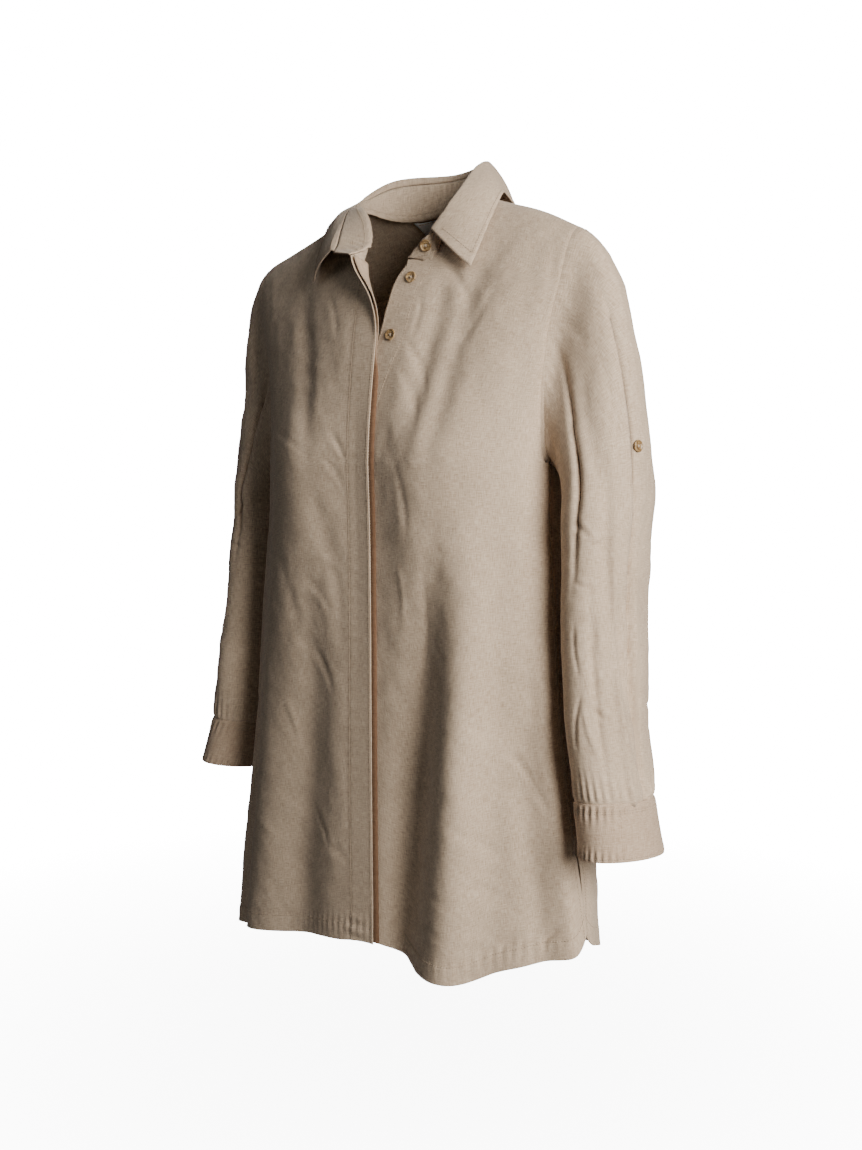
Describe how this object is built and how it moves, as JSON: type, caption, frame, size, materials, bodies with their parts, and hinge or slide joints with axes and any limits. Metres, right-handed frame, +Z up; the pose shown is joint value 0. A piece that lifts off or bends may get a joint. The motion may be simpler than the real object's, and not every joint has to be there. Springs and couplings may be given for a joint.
{
  "type": "linen button-up shirt",
  "caption": "Long-sleeved linen tunic shirt with a turn-down collar, concealed button front, open neck and long curved hem, hollow and filled out as worn.",
  "frame": {"origin": "midway between the two points where the shoulder seams meet the neckline, level with them", "axes": "+Z up along the body, -Y out of the front, +X towards the wearer's left"},
  "size_m": [0.5652, 0.2047, 0.8142],
  "materials": {
    "linen": "plain-woven washed linen, matt",
    "label_tape": "blank woven tape",
    "horn_button": "brown horn-like resin, satin"
  },
  "bodies": {
    "root": {"front_left": "linen", "front_right": "linen", "back": "linen", "yoke": "linen", "fly_underlay": "linen", "collar_stand": "linen", "collar_fall": "linen", "sleeve_left": "linen", "sleeve_right": "linen", "cuff_left": "linen", "cuff_right": "linen", "neck_label": "label_tape", "button_front_1": "horn_button", "button_front_2": "horn_button", "button_fly_1": "horn_button", "button_fly_2": "horn_button", "button_fly_3": "horn_button", "button_fly_4": "horn_button", "button_fly_5": "horn_button", "button_stand": "horn_button", "button_tab_left": "horn_button", "button_tab_right": "horn_button", "button_cuff_left": "horn_button", "button_cuff_right": "horn_button"}
  },
  "joints": []
}
